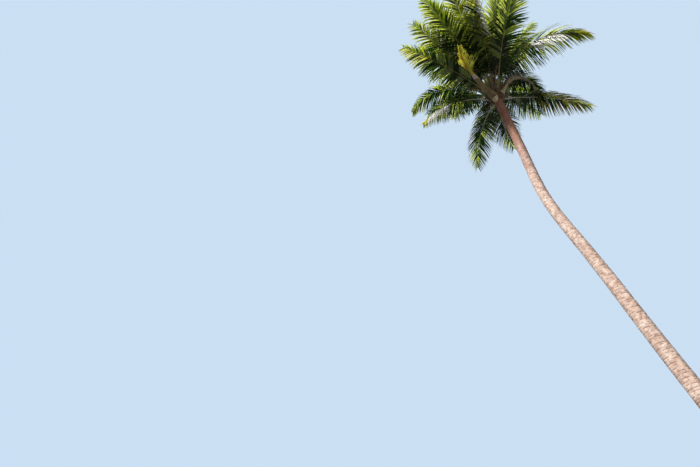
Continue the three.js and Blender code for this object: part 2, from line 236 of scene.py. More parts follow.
# Chance in the leaflets. Spreads in pairs are a leaflet's own part, then the part of waves along the rib
PLACE_SPREAD = 0.3
WAVE_TURNS = (25, 40)
WAVE_STARTS = (0, 6)
WAVE_SIZE = 0.5
ANGLE_SPREAD = (3.5, 3)
HANG_SPREAD = (0.1, 0.12)
TWIST_SPREAD = (14, 12)
TWIST_AT_ROOT = 0.3
LENGTH_SPREAD = 0.06
SWAY_SPREAD = 0.1
BROKEN_SHARE = 0.05
BROKEN_DROOP = 4.0
BROKEN_PLACES = (0.35, 0.8)

# Sunlight that comes through a leaflet: its share, and how far its red, green and blue pass. The darkest
# green, which is painted shade, lets less through
LEAF_GLOW = 0.65
SHADE_GREEN_GLOW = 0.3
LEAF_GLOW_REACH = (0.014, 0.018, 0.005)
# The painted glint colours pass red, green and blue evenly, so that they stay white
PALE_LEAF_GLOW_REACH = (0.013, 0.013, 0.011)

# How strongly a leaflet reflects. The darkest green, which is painted shade, reflects less
LEAF_SHINE = 0.45
SHADE_GREEN_SHINE = 0.12

Frond = collections.namedtuple(
    "Frond", "name heading rise bend length swing hang seat looks rib split bare roll open girth slims base"
)


def mix(a, b, share):
    return a + (b - a) * share


def limb(name, heading, rise, bend, length, swing, hang, seat, looks, rib="rib_green", **special):
    """A frond or stalk, with the usual values of what isn't stated."""
    bare = mix(BARE_SHARE_OLDEST, BARE_SHARE_YOUNGEST, seat)
    usual = {"split": 0, "bare": bare, "roll": 0, "open": 1}
    usual |= {"girth": 1.0, "slims": STALK_SLIMS_BY * bare, "base": BASE_REACH}
    return Frond(name, heading, rise, bend, length, swing, hang, seat, looks, rib, **(usual | special))


# Each frond's shape as in the solids, then its leaflets' colours, and its rib's colour if it isn't green.
# Where it differs from the others: split, bare, roll and open as in the solids, its stalk's girth, the
# share of its length by which the stalk has slimmed to a plain rib, and how far its clasping base reaches
FRONDS = [
    limb(
        "yellow_near", 252, 13, 38, 2.5, 34, 0.25, 0.0, "dying", "rib_yellow",
        bare=0.5, open=0.5, girth=4.2, slims=0.6, base=0.95,
    ),
    limb("far_left", 128, 30, 55, 3.4, -12, 0.6, 0.03, "shaded", "rib_pale"),
    limb("far_right", 99, 35, 42, 3.5, -6, 0.7, 0.14, "shaded", "rib_pale"),
    limb("far_mid", 113, 50, 52, 3.4, 4, 0.6, 0.3, "shaded"),
    limb("right_low", 44, 22, 38, 3.7, 0, 0.6, 0.05, "olive", "rib_pale", roll=30),
    limb("right_hook", 5, 66, 165, 2.7, 120, 0.9, 0.12, "shaded", "rib_tan", split=0.5, girth=5, slims=1.1),
    limb("far_right_mid", 70, 48, 52, 3.4, 0, 0.6, 0.24, "shaded"),
    limb("left_low", 186, 46, 95, 2.9, 0, 0.8, 0.06, "ageing", "rib_pale", split=0.6, roll=30),
    limb("left_hook", 208, 48, 112, 3.3, -25, 0.7, 0.28, "green", split=0.6),
    limb("left_mid", 235, 38, 46, 3.6, 2, 0.5, 0.1, "ageing", "rib_olive"),
    limb("left_up", 243, 46, 44, 3.7, 8, 0.45, 0.34, "green", "rib_olive"),
    limb("near_left", 260, 50, 58, 4.1, 0, 0.5, 0.2, "green", "rib_olive"),
    limb("near_left_up", 274, 52, 50, 4.0, 0, 0.45, 0.5, "bright"),
    limb("near", 289, 50, 45, 3.8, -4, 0.45, 0.38, "lime"),
    limb("near_right", 310, 42, 50, 3.7, -2, 0.4, 0.18, "green", "rib_olive"),
    limb("near_right_high", 310, 60, 40, 3.6, -4, 0.4, 0.56, "green"),
    limb("right_back", 347, 60, 50, 2.8, -4, 0.5, 0.46, "bright"),
    limb("right_up", 0, 66, 98, 4.85, 34, 0.8, 0.3, "ageing", split=0.55, roll=35),
    limb("far_right_up", 62, 62, 60, 3.7, 0, 0.6, 0.36, "green"),
    limb("far_up", 96, 62, 60, 3.6, 0, 0.5, 0.48, "green"),
    limb("far_left_up", 138, 66, 55, 3.6, 0, 0.5, 0.42, "green"),
    limb("left_back", 166, 60, 55, 3.4, 0, 0.6, 0.26, "shaded"),
    limb("left_high", 216, 66, 50, 3.6, 0, 0.45, 0.52, "green"),
    limb("near_up", 254, 70, 40, 3.7, 0, 0.3, 0.62, "bright"),
    limb("near_right_up", 326, 72, 40, 3.6, 0, 0.3, 0.7, "green"),
    limb("right_high", 28, 74, 40, 3.5, 0, 0.3, 0.66, "bright"),
    limb("far_high", 112, 76, 35, 3.4, 0, 0.25, 0.74, "bright"),
    limb("left_top", 185, 78, 28, 3.3, 0, 0.2, 0.78, "bright"),
    limb("near_top", 283, 80, 22, 3.2, 0, 0.2, 0.86, "lime"),
]
SPEAR = limb("spear_leaf", 20, 85, 4, 2.4, 0, 0, 1.0, "", "young_leaf", girth=0.8)
FLOWER_STALKS = [
    limb("flower_stalk_near", 276, 30, 70, 0.9, 0, 0, 0.06, "", "dry_stalk", girth=0.55),
    limb("flower_stalk_right", 338, 35, 75, 0.95, 10, 0, 0.06, "", "dry_stalk", girth=0.55),
    limb("flower_stalk_near_right", 300, 48, 60, 0.85, 0, 0, 0.26, "", "dry_stalk", girth=0.55),
    limb("flower_stalk_left", 222, 45, 65, 0.85, 0, 0, 0.2, "", "dry_stalk", girth=0.55),
    limb("flower_stalk_far", 82, 40, 70, 0.85, 0, 0, 0.06, "", "dry_stalk", girth=0.55),
]

# Leaflet colours, each with its share, on the body of a frond and at its far end. The darkest green is
# painted shade among the leaflets
LOOKS = {
    # Painted shade over whole fronds, mostly in the darkest green
    "shaded": ({"deep": 0.75, "green": 0.25}, {"deep": 0.4, "green": 0.4, "olive": 0.2}),
    "green": ({"green": 0.55, "deep": 0.3, "fresh": 0.15}, {"fresh": 0.6, "green": 0.25, "lime": 0.15}),
    "bright": ({"fresh": 0.5, "green": 0.4, "lime": 0.1}, {"lime": 0.45, "fresh": 0.55}),
    "lime": ({"fresh": 0.5, "lime": 0.35, "green": 0.15}, {"lime": 0.7, "fresh": 0.3}),
    "olive": (
        {"olive": 0.55, "deep": 0.15, "green": 0.2, "brown": 0.1},
        {"olive": 0.35, "lime": 0.4, "yellow": 0.15, "brown": 0.1},
    ),
    "ageing": ({"green": 0.5, "deep": 0.35, "fresh": 0.15}, {"lime": 0.55, "yellow": 0.2, "fresh": 0.25}),
    "dying": ({"yellow": 0.45, "lime": 0.55}, {"yellow": 0.5, "lime": 0.35, "orange": 0.15}),
}
# Painted shade near the stalks, deep inside the crown: these colours, on more leaflets the nearer the
# stalk, up to this share of the blade
SHADE = {"deep": 0.9, "green": 0.1}
SHADE_UP_TO = 0.66
FAR_END_FROM = 0.5
FAR_END_FULL = 0.95
CHANGE_SHARE = 0.3
DRY_TIPS = ("yellow", "brown", "lime")
DRY_TIP_SHARE = 0.07
DRY_TIP_STEPS = 2

# Runs of leaflets with listed colours: frond, side, from and to along the blade, each colour's share, and
# the part of each leaflet that has it. The PALE runs and the pale run on near are painted highlights,
# glints of sun on leaflets
# Painted highlight: white and cream for the glint of sun on hanging leaflets
PALE = {"pale": 0.8, "cream": 0.2}
PATCHES = [
    ("right_up", -1, 0.44, 0.75, PALE, (0.05, 0.95)),
    ("right_up", 1, 0.46, 0.7, PALE, (0.0, 0.3)),
    ("left_low", 1, 0.45, 0.84, PALE, (0.0, 1.0)),
    ("left_low", 1, 0.84, 1.0, {"lime": 0.6, "yellow": 0.4}, (0.0, 1.0)),
    ("left_low", -1, 0.45, 0.86, PALE, (0.0, 0.45)),
    ("left_low", -1, 0.86, 1.0, {"lime": 1.0}, (0.0, 1.0)),
    ("near", 1, 0.45, 0.9, {"pale": 1.0}, (0.0, 0.85)),
    ("near_left_up", 1, 0.3, 0.75, {"lime": 1.0}, (0.0, 0.8)),
    ("left_hook", 1, 0.15, 0.5, {"lime": 1.0}, (0.3, 1.0)),
    ("yellow_near", -1, 0.0, 1.0, {"yellow": 1.0}, (0.0, 1.0)),
    ("yellow_near", -1, 0.2, 1.0, {"orange": 1.0}, (0.5, 1.0)),
    ("right_low", 1, 0.45, 0.8, {"rust": 0.7, "brown": 0.3}, (0.5, 1.0)),
    ("right_low", -1, 0.25, 0.8, {"brown": 0.6, "olive": 0.4}, (0.1, 0.75)),
    ("far_left", 1, 0.3, 0.45, {"rust": 1.0}, (0.4, 1.0)),
]
PATCH_FULLNESS = 0.92
PATCH_EDGE_SPREAD = 0.07

# Runs where leaflets have wilted: frond, side, from and to along the blade, extra hang, how many of them
# wilt, and how far those turn about their own length. The others there stand up, closer along the rib
WILTED = [
    ("right_up", -1, 0.42, 0.76, 4.0, 0.78, 0),
    ("left_low", 1, 0.45, 0.95, 4.0, 0.9, 0),
    ("near", 1, 0.45, 0.9, 4.0, 0.85, 60),
]
WILT_RANGE = (0.7, 1.2)
RAISE = 0.45
RAISED_ANGLE = -22

# Sides of fronds whose lowest leaflets lie closer along the rib, by these degrees, and hang less
FOLDED = {("yellow_near", -1): (26, 0.5), ("yellow_near", 1): (-12, 0.2)}

# Runs of a rib with a colour of their own: up to these shares of its length
RIB_BANDS = {
    "yellow_near": ((0.35, "rib_mottled"), (0.43, "rib_cream"), (1.0, "rib_yellow")),
}
BAND_EDGE_SPREAD = 0.018

# The photograph's camera
CAMERA_PLACE = (-1.85, -12.0, 1.6)
CAMERA_LENS = 29
CAMERA_SENSOR = 36
CAMERA_PITCH = 45
CAMERA_ROLL = 4.5
CAMERA_HEADING = -30
CAMERA_SIGHT = 4000

# Studio: the floor, the backdrop that the camera sees, the dome that lights the palm, and each lamp's
# name, strength, width in degrees, colour and the way towards it
FLOOR_RADIUS = 1500.0
FLOOR_SIDES = 96
FLOOR_DROP = 0.002
FLOOR_COLOURS = [(0.3, (0.36, 0.36, 0.355)), (0.7, (0.38, 0.38, 0.375))]
FLOOR_SPECKLES = {"scale": 0.8, "detail": 3.0}
FLOOR_ROUGHNESS = 0.9
BACKDROP_COLOUR = (0.60, 0.74, 0.90)
DOME_COLOUR = (0.90, 0.95, 1.0)
DOME_STRENGTH_ABOVE = 0.46
DOME_STRENGTH_BELOW = 0.1
DOME_RANGE = (-0.3, 0.6)
LIGHTS = (
    ("key", 6.0, 4, (1.0, 0.98, 0.94), (-0.4, -0.9, 1.2)),
    ("fill", 0.65, 40, (1.0, 0.84, 0.74), (0.85, -0.5, -0.15)),
)

UP = np.array([0.0, 0.0, 1.0])


def unit(vectors):
    return vectors / np.linalg.norm(vectors, axis=-1, keepdims=True)


# Materials

MATERIALS = {}

# Leaflets: their colours with roughness, then the noise of their gloss and of their fine ribs
LEAF_COLOURS = {
    # Painted shade: a near-black copy of the greens that stands for the shade inside the crown
    "deep": ((0.009, 0.018, 0.003), 0.42),
    "green": ((0.045, 0.090, 0.009), 0.4),
    "fresh": ((0.17, 0.24, 0.012), 0.4),
    "lime": ((0.44, 0.47, 0.02), 0.42),
    "olive": ((0.23, 0.18, 0.018), 0.48),
    "yellow": ((0.90, 0.62, 0.015), 0.45),
    "orange": ((0.85, 0.34, 0.008), 0.5),
    "brown": ((0.20, 0.12, 0.04), 0.6),
    "rust": ((0.26, 0.08, 0.035), 0.6),
    # Painted highlight: the glint of sun on hanging leaflets, in white and cream
    "pale": ((0.90, 0.91, 0.80), 0.34),
    "cream": ((0.66, 0.68, 0.44), 0.4),
}
LEAF_GLOSS = {"scale": 9.0}
LEAF_GLOSS_RANGE = (-0.08, 0.12)
LEAF_RIBS = {"scale": 160.0, "detail": 2.0}
LEAF_RIB_RELIEF = {"strength": 0.25, "distance": 0.002}

# Ribs, fibre and dry parts: a dark and a light colour, roughness, and where they differ from the usual,
# the streaks' scale, stretch and depth
STREAKED = {
    "rib_green": ((0.09, 0.12, 0.02), (0.22, 0.25, 0.05), 0.42),
    "rib_olive": ((0.13, 0.14, 0.035), (0.30, 0.29, 0.09), 0.45),
    "rib_pale": ((0.42, 0.42, 0.27), (0.72, 0.71, 0.55), 0.45),
    "rib_cream": ((0.88, 0.70, 0.54), (0.97, 0.87, 0.73), 0.45),
    "rib_tan": ((0.72, 0.54, 0.29), (0.95, 0.80, 0.53), 0.5, 9.0),
    "rib_yellow": ((0.78, 0.60, 0.02), (0.95, 0.80, 0.08), 0.42),
    "rib_mottled": ((0.12, 0.07, 0.022), (0.34, 0.245, 0.085), 0.5, 7.0),
    # Painted shade: the dark colour of the leaf bases round the heart
    "rib_foot": ((0.05, 0.04, 0.014), (0.15, 0.12, 0.04), 0.6, 9.0),
    "base_edge": ((0.05, 0.025, 0.012), (0.20, 0.115, 0.055), 0.8, 12.0, (1, 1, 0.3)),
    "fibre": ((0.03, 0.016, 0.008), (0.12, 0.066, 0.03), 0.9, 12.0, (1, 1, 0.3), 0.008),
    "young_leaf": ((0.30, 0.36, 0.10), (0.50, 0.52, 0.20), 0.45, 14.0, (1, 1, 0.1)),
    "dry_stalk": ((0.26, 0.17, 0.08), (0.55, 0.42, 0.24), 0.7, 10.0),
}
STREAK_DETAIL = 6.0
STREAK_PLACES = (0.3, 0.68)
STREAK_GLOSS = 0.08
STREAK_RELIEF_SCALE = 9
STREAK_RELIEF_DETAIL = 3.0
STREAK_RELIEF_STRENGTH = 0.4

# Bark: its plain and its pale colour by share of the trunk's height, where pale and dark places lie,
# its scars' colour, and its cracks. Their darkening towards the crown is partly the younger bark's own
# colour and partly painted shade from the crown
BARK_PLAIN = [
    (0.0, (0.34, 0.235, 0.175)),
    (0.1, (0.55, 0.41, 0.32)),
    (0.72, (0.66, 0.475, 0.39)),
    (0.8, (0.41, 0.225, 0.16)),
    (0.87, (0.30, 0.145, 0.095)),
    (1.0, (0.23, 0.095, 0.055)),
]
BARK_PALE = [(0.72, (0.85, 0.725, 0.635)), (0.81, (0.85, 0.70, 0.62)), (0.89, (0.46, 0.26, 0.19))]
BARK_PALE_PLACES = {"scale": 2.6, "detail": 8.0, "distortion": 0.6}
BARK_PALE_RANGE = (-0.5, 1.3)
BARK_DARK = (0.22, 0.08, 0.045)
BARK_DARK_PLACES = {"scale": 13.0, "stretch": (1, 1, 0.6), "detail": 8.0}
BARK_DARK_RANGE = (-0.95, 1.3)
SCAR_COLOUR = (0.21, 0.062, 0.032)
SCAR_FULLNESS = 0.92
BARK_CRACKS = {"scale": 34.0, "stretch": (1, 1, 0.22), "detail": 8.0, "distortion": 0.4}
BARK_CRACK_RELIEF = {"strength": 0.7, "distance": 0.006}
BARK_ROUGHNESS = (0.94, 0.74)


def principled(name):
    material = bpy.data.materials.new(f"{name}_look")
    MATERIALS[name] = material
    material.use_nodes = True
    return material.node_tree, material.node_tree.nodes["Principled BSDF"]


def noise(tree, scale, stretch=(1, 1, 1), detail=4.0, distortion=0.0):
    """Noise over the piece's own place, stretched along its axes. Returns the output from 0 to 1."""
    place = tree.nodes.new("ShaderNodeTexCoord")
    mapping = tree.nodes.new("ShaderNodeMapping")
    mapping.inputs["Scale"].default_value = stretch
    texture = tree.nodes.new("ShaderNodeTexNoise")
    texture.inputs["Scale"].default_value = scale
    texture.inputs["Detail"].default_value = detail
    texture.inputs["Distortion"].default_value = distortion
    tree.links.new(place.outputs["Object"], mapping.inputs["Vector"])
    tree.links.new(mapping.outputs["Vector"], texture.inputs["Vector"])
    return texture.outputs["Fac"]


def ramp(tree, value, stops):
    """A colour ramp over a value, from pairs of place and colour."""
    node = tree.nodes.new("ShaderNodeValToRGB")
    while len(node.color_ramp.elements) < len(stops):
        node.color_ramp.elements.new(0.5)
    for element, (place, colour) in zip(node.color_ramp.elements, stops):
        element.position = place
        element.color = (*colour, 1.0)
    tree.links.new(value, node.inputs["Fac"])
    return node.outputs["Color"]


def blend_colours(tree, share, first, second):
    """A mix of two colours. The second may be a plain colour."""
    node = tree.nodes.new("ShaderNodeMix")
    node.data_type = "RGBA"
    for socket, value in (("Factor", share), ("A", first), ("B", second)):
        target = next(i for i in node.inputs if i.name == socket and i.enabled)
        if isinstance(value, tuple):
            target.default_value = (*value, 1.0)
        else:
            tree.links.new(value, target)
    return next(o for o in node.outputs if o.enabled)


def spread(tree, value, low, high, start=0.0, end=1.0):
    """The value, from start to end, moved to run from low to high."""
    node = tree.nodes.new("ShaderNodeMapRange")
    for socket, amount in (("From Min", start), ("From Max", end), ("To Min", low), ("To Max", high)):
        node.inputs[socket].default_value = amount
    tree.links.new(value, node.inputs["Value"])
    return node.outputs["Result"]


def upward(tree, kind):
    """The Z axis of a kind of texture coordinates."""
    place = tree.nodes.new("ShaderNodeTexCoord")
    axes = tree.nodes.new("ShaderNodeSeparateXYZ")
    tree.links.new(place.outputs[kind], axes.inputs["Vector"])
    return axes.outputs["Z"]


def bump(tree, shader, height, strength, distance):
    node = tree.nodes.new("ShaderNodeBump")
    node.inputs["Strength"].default_value = strength
    node.inputs["Distance"].default_value = distance
    tree.links.new(height, node.inputs["Height"])
    tree.links.new(node.outputs["Normal"], shader.inputs["Normal"])


def leaf_material(name, colour, roughness):
    """One plain leaf colour. Its gloss and its fine ribs come from noise."""
    tree, shader = principled(f"leaf_{name}")
    shader.inputs["Base Color"].default_value = (*colour, 1.0)
    # The painted shade colour reflects less and lets less sunlight through, so that it stays dark
    shine, glow = (SHADE_GREEN_SHINE, SHADE_GREEN_GLOW) if name == "deep" else (LEAF_SHINE, LEAF_GLOW)
    shader.inputs["Specular IOR Level"].default_value = shine
    shader.inputs["Subsurface Weight"].default_value = glow
    # Evenly for the painted glint colours, so that they stay white
    reach = PALE_LEAF_GLOW_REACH if name in PALE else LEAF_GLOW_REACH
    shader.inputs["Subsurface Radius"].default_value = reach
    shader.inputs["Subsurface Scale"].default_value = 1.0
    low, high = LEAF_GLOSS_RANGE
    gloss = spread(tree, noise(tree, **LEAF_GLOSS), roughness + low, roughness + high)
    tree.links.new(gloss, shader.inputs["Roughness"])
    bump(tree, shader, noise(tree, **LEAF_RIBS), **LEAF_RIB_RELIEF)


def streaked_material(name, dark, light, roughness, scale=6.0, stretch=(1, 1, 1), depth=0.003):
    """Two close colours in streaks, with relief from finer streaks."""
    tree, shader = principled(name)
    streaks = noise(tree, scale, stretch, STREAK_DETAIL)
    colour = ramp(tree, streaks, list(zip(STREAK_PLACES, (dark, light))))
    tree.links.new(colour, shader.inputs["Base Color"])
    gloss = spread(tree, streaks, roughness + STREAK_GLOSS, roughness - STREAK_GLOSS)
    tree.links.new(gloss, shader.inputs["Roughness"])
    relief = noise(tree, scale * STREAK_RELIEF_SCALE, stretch, STREAK_RELIEF_DETAIL)
    bump(tree, shader, relief, STREAK_RELIEF_STRENGTH, depth)


def bark_material():
    """Pale bark, darker pinkish brown towards the crown in its own colour and in painted shade, with dark
    scars, mottles and fine cracks.
    """
    tree, shader = principled("bark")
    height = spread(tree, upward(tree, "Object"), 0.0, 1.0, 0.0, TRUNK_HEIGHT)
    plain = ramp(tree, height, BARK_PLAIN)
    pale = ramp(tree, height, BARK_PALE)
    pale_places = spread(tree, noise(tree, **BARK_PALE_PLACES), *BARK_PALE_RANGE)
    mottled = blend_colours(tree, pale_places, plain, pale)
    dark_places = spread(tree, noise(tree, **BARK_DARK_PLACES), *BARK_DARK_RANGE)
    weathered = blend_colours(tree, dark_places, mottled, BARK_DARK)
    scar = tree.nodes.new("ShaderNodeAttribute")
    scar.attribute_name = "scar"
    scars = spread(tree, scar.outputs["Fac"], 0.0, SCAR_FULLNESS)
    tree.links.new(blend_colours(tree, scars, weathered, SCAR_COLOUR), shader.inputs["Base Color"])
    cracks = noise(tree, **BARK_CRACKS)
    tree.links.new(spread(tree, cracks, *BARK_ROUGHNESS), shader.inputs["Roughness"])
    bump(tree, shader, cracks, **BARK_CRACK_RELIEF)


def make_materials():
    for name, look in LEAF_COLOURS.items():
        leaf_material(name, *look)
    for name, look in STREAKED.items():
        streaked_material(name, *look)
    bark_material()


make_materials()


# Meshes


def add_piece(name, points, faces, colours, slot, nodes):
    """A smooth mesh on the root body. colours names each face's material."""
    mesh = bpy.data.meshes.new(name)
    mesh.from_pydata(points, [], faces)
    used = sorted(set(colours))
    for colour in used:
        mesh.materials.append(MATERIALS[colour])
    number = {colour: i for i, colour in enumerate(used)}
    mesh.polygons.foreach_set("material_index", [number[c] for c in colours])
    mesh.polygons.foreach_set("use_smooth", [True] * len(faces))
    mesh.update()
    piece = bpy.data.objects.new(name, mesh)
    bpy.context.scene.collection.objects.link(piece)
    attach(piece, "root")
    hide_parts(*nodes)
    return piece


def full_turn(count):
    return np.linspace(0, 2 * math.pi, count, endpoint=False)


def around(radius, angle, height):
    """Points round an upright axis."""
    return np.stack(np.broadcast_arrays(radius * np.cos(angle), radius * np.sin(angle), height), axis=-1)


def loft(rings, first):
    """Points and faces of a closed skin over a run of rings. Its first point has the number first."""
    count, sides, _ = rings.shape
    here = np.arange(sides)
    after = (here + 1) % sides
    faces = []
    for k in range(count - 1):
        low = first + k * sides
        high = low + sides
        faces += np.stack([low + here, low + after, high + after, high + here], axis=1).tolist()
    faces.append([first + i for i in range(sides)][::-1])
    faces.append([first + (count - 1) * sides + i for i in range(sides)])
    return rings.reshape(-1, 3).tolist(), faces


def joined(shapes):
    """Several lofts in one: points, faces and a name for each face, from pairs of rings and names."""
    points = []
    faces = []
    names = []
    for rings, named in shapes:
        new_points, new_faces = loft(rings, len(points))
        points += new_points
        faces += new_faces
        names += [named] * len(new_faces) if isinstance(named, str) else named
    return points, faces, names


# Trunk


def trunk_axis(height):
    t = height / TRUNK_HEIGHT
    a, b, c, d = TRUNK_LEAN
    lean = a * (1 - t) ** 3 + 3 * b * (1 - t) ** 2 * t + 3 * c * (1 - t) * t**2 + d * t**3
    return lean + TRUNK_BOW * np.exp(-(((height - TRUNK_BOW_HEIGHT) / TRUNK_BOW_REACH) ** 2))


def trunk_radius(height):
    taper = np.clip(1 - height / TRUNK_HEIGHT, 0, 1) ** TRUNK_TAPER_POWER
    flare = ROOT_FLARE * np.exp(-height / ROOT_FLARE_HEIGHT)
    return mix(TRUNK_TOP_RADIUS, TRUNK_FOOT_RADIUS, taper) + flare


def scar_heights(random):
    heights = [0.0]
    while heights[-1] < TRUNK_HEIGHT:
        pitch = mix(SCAR_PITCH_AT_FOOT, SCAR_PITCH_AT_TOP, heights[-1] / TRUNK_HEIGHT)
        heights.append(heights[-1] + pitch * (1 + SCAR_PITCH_SPREAD * random.uniform(-1, 1)))
    heights = np.array(heights)
    return heights * TRUNK_HEIGHT / heights[-1]


def trunk_ring(height, radius, angles):
    ring = around(radius, angles, height)
    ring[:, 0] += trunk_axis(height)
    return ring


def add_trunk():
    random = np.random.default_rng(SEEDS["trunk"])
    scars = scar_heights(random)
    angles = full_turn(TRUNK_SIDES)
    tilts = SCAR_TILT * np.clip(np.minimum(scars, TRUNK_HEIGHT - scars) / SCAR_TILT_FADE, 0, 1)
    turns = np.radians(SCAR_TURN) * np.arange(len(scars))
    turns += random.uniform(-SCAR_TURN_SPREAD, SCAR_TURN_SPREAD, len(scars))
    waves = random.normal(0, 1, (len(scars), SCAR_WAVES))
    lobes = 0.5 + 0.5 * np.cos(FLARE_LOBES * angles + FLARE_LOBE_SHIFT * np.sin(2 * angles))
    rings = []
    shades = []
    for i in range(len(scars) - 1):
        ripple = sum(
            wave * np.sin((n + 1) * angles + wave * SCAR_WAVE_SHIFT) for n, wave in enumerate(waves[i])
        )
        strength = np.clip(SCAR_STRENGTH + SCAR_STRENGTH_SPREAD * ripple, 0, SCAR_STRENGTH_LIMIT)
        tilt = [tilts[k] * np.cos(angles - turns[k]) for k in (i, i + 1)]
        for phase, relief, shade in zip(SCAR_PHASES, SCAR_RELIEF, SCAR_SHADE):
            height = mix(scars[i], scars[i + 1], phase) + mix(tilt[0], tilt[1], phase)
            uneven = BARK_UNEVENNESS * random.normal(0, 1, TRUNK_SIDES)
            foot = -FLARE_LOBE_DEPTH * lobes * np.exp(-height / FLARE_LOBE_HEIGHT)
            radius = trunk_radius(height) + relief * strength + uneven * (phase > 0) + foot
            if i == 0 and phase == 0:
                height = np.zeros(TRUNK_SIDES)
            rings.append(trunk_ring(height, radius, angles))
            shades.append(shade * np.clip(strength, 0, 1))
    top = np.full(TRUNK_SIDES, TRUNK_HEIGHT)
    rings.append(trunk_ring(top, trunk_radius(top), angles))
    shades.append(np.zeros(TRUNK_SIDES))
    rings = np.array(rings)
    trunk = add_piece("trunk_bark", *joined([(rings, "bark")]), "bark", ["trunk"])
    scar = trunk.data.attributes.new("scar", "FLOAT", "POINT")
    scar.data.foreach_set("value", np.concatenate(shades).astype(np.float32))
    return rings


# Heart of the crown and the ribs that leave it

HEART_FOOT = np.array([trunk_axis(TRUNK_HEIGHT), 0.0, TRUNK_HEIGHT + CLEARANCE])


def heart_radius(height):
    return np.interp(height, [h for _, h in HEART_PROFILE], [r for r, _ in HEART_PROFILE])


def heart_side(heading, height, outside):
    """A point outside the heart's side, or the trunk's below it."""
    return HEART_FOOT + around(heart_radius(height) + outside, heading, height)


def rib_frame(frond, s):
    """Directions along the rib, across its blade and out of it, at shares s of its length."""
    slope = np.radians(frond.rise - frond.bend * s**ARCH_POWER)
    heading = np.radians(frond.heading + frond.swing * s**ARCH_POWER)
    along = np.stack(
        [np.cos(heading) * np.cos(slope), np.sin(heading) * np.cos(slope), np.sin(slope)], axis=-1
    )
    level = np.stack([-np.sin(heading), np.cos(heading), np.zeros_like(heading)], axis=-1)
    turn = np.radians(frond.roll * s)[..., None]
    across = level * np.cos(turn) + np.cross(along, level) * np.sin(turn)
    return along, across, np.cross(along, across)


def rib_midline(frond):
    seat_height = LOWEST_SEAT + SEAT_RANGE * frond.seat
    seat = heart_side(math.radians(frond.heading), seat_height, -SEAT_DEPTH)
    along, _, _ = rib_frame(frond, (np.arange(MIDLINE_STEPS) + 0.5) / MIDLINE_STEPS)
    steps = along * frond.length / MIDLINE_STEPS
    return np.vstack([seat, seat + np.cumsum(steps, axis=0)])


def points_at(midline, s):
    places = np.clip(s, 0, 1) * MIDLINE_STEPS
    grid = np.arange(MIDLINE_STEPS + 1)
    return np.stack([np.interp(places, grid, midline[:, k]) for k in range(3)], axis=-1)


def rib_halves(frond, s):
    """Half the rib's width and depth: a plain taper, a broad foot, and the stalk's own girth."""
    foot = np.exp(-s / RIB_FOOT_SHARE)
    start = STALK_SLIMS_FROM * frond.bare
    slimmed = np.clip((s - start) / (frond.slims - start + STALK_SLIMS_LEAST), 0, 1)
    stout = mix(frond.girth, 1.0, slimmed)
    width = (RIB_TIP + RIB_TAPER_WIDTH * (1 - s)) * stout + RIB_FOOT_WIDTH * foot
    depth = (RIB_TIP + RIB_TAPER_DEPTH * (1 - s)) * stout + RIB_FOOT_DEPTH * foot
    return width, depth


def rib_rings(frond, midline):
    """Rings of a rib: hollowed above near its foot, keeled below, and ridged above among its leaflets."""
    s = np.linspace(0, 1, RIB_RINGS) ** RIB_RINGS_POWER
    _, across, out = rib_frame(frond, s)
    width, depth = rib_halves(frond, s)
    angles = full_turn(RIB_SIDES)
    side = np.cos(angles)
    level = np.sin(angles)
    turned = (s - STALK_HOLLOW_TO * frond.bare) / (STALK_TURNS_OVER * frond.bare + STALK_TURNS_LEAST)
    hollow = np.where(level > 0, level * (HOLLOW_MIDDLE + HOLLOW_RISE * side**2), level)
    ridged = np.where(level > 0, np.abs(level) ** RIDGE_POWER, level)
    heights = mix(hollow, ridged, np.clip(turned, 0, 1)[:, None])
    centre = points_at(midline, s)
    rings = (
        centre[:, None]
        + across[:, None] * (width[:, None] * side)[..., None]
        + out[:, None] * (depth[:, None] * heights)[..., None]
    )
    return s, rings


def add_heart():
    random = np.random.default_rng(SEEDS["heart"])
    angles = full_turn(HEART_SIDES)
    rings = []
    for height in np.linspace(0, HEART_PROFILE[-1][1], HEART_RINGS):
        wrap = (height / WRAP_HEIGHT + angles / (2 * math.pi) * WRAPS_IN_A_TURN) % 1
        radius = heart_radius(height) - WRAP_INSET + WRAP_DEPTH * wrap**2
        radius = radius + HEART_UNEVENNESS * random.normal(0, 1, HEART_SIDES)
        rings.append(HEART_FOOT + around(radius, angles, height))
    rings = np.array(rings)
    add_piece("heart_fibre", *joined([(rings, "fibre")]), "leaf_base_fibre", ["crown_heart"])
    return rings


# Leaflets


def frond_nodes(frond):
    name = f"frond_{frond.name}"
    return [name, f"{name}_tip"] if frond.split else [name]


def leaf_slot(frond):
    return "yellow_leaf" if frond.looks == "dying" else "green_leaf"


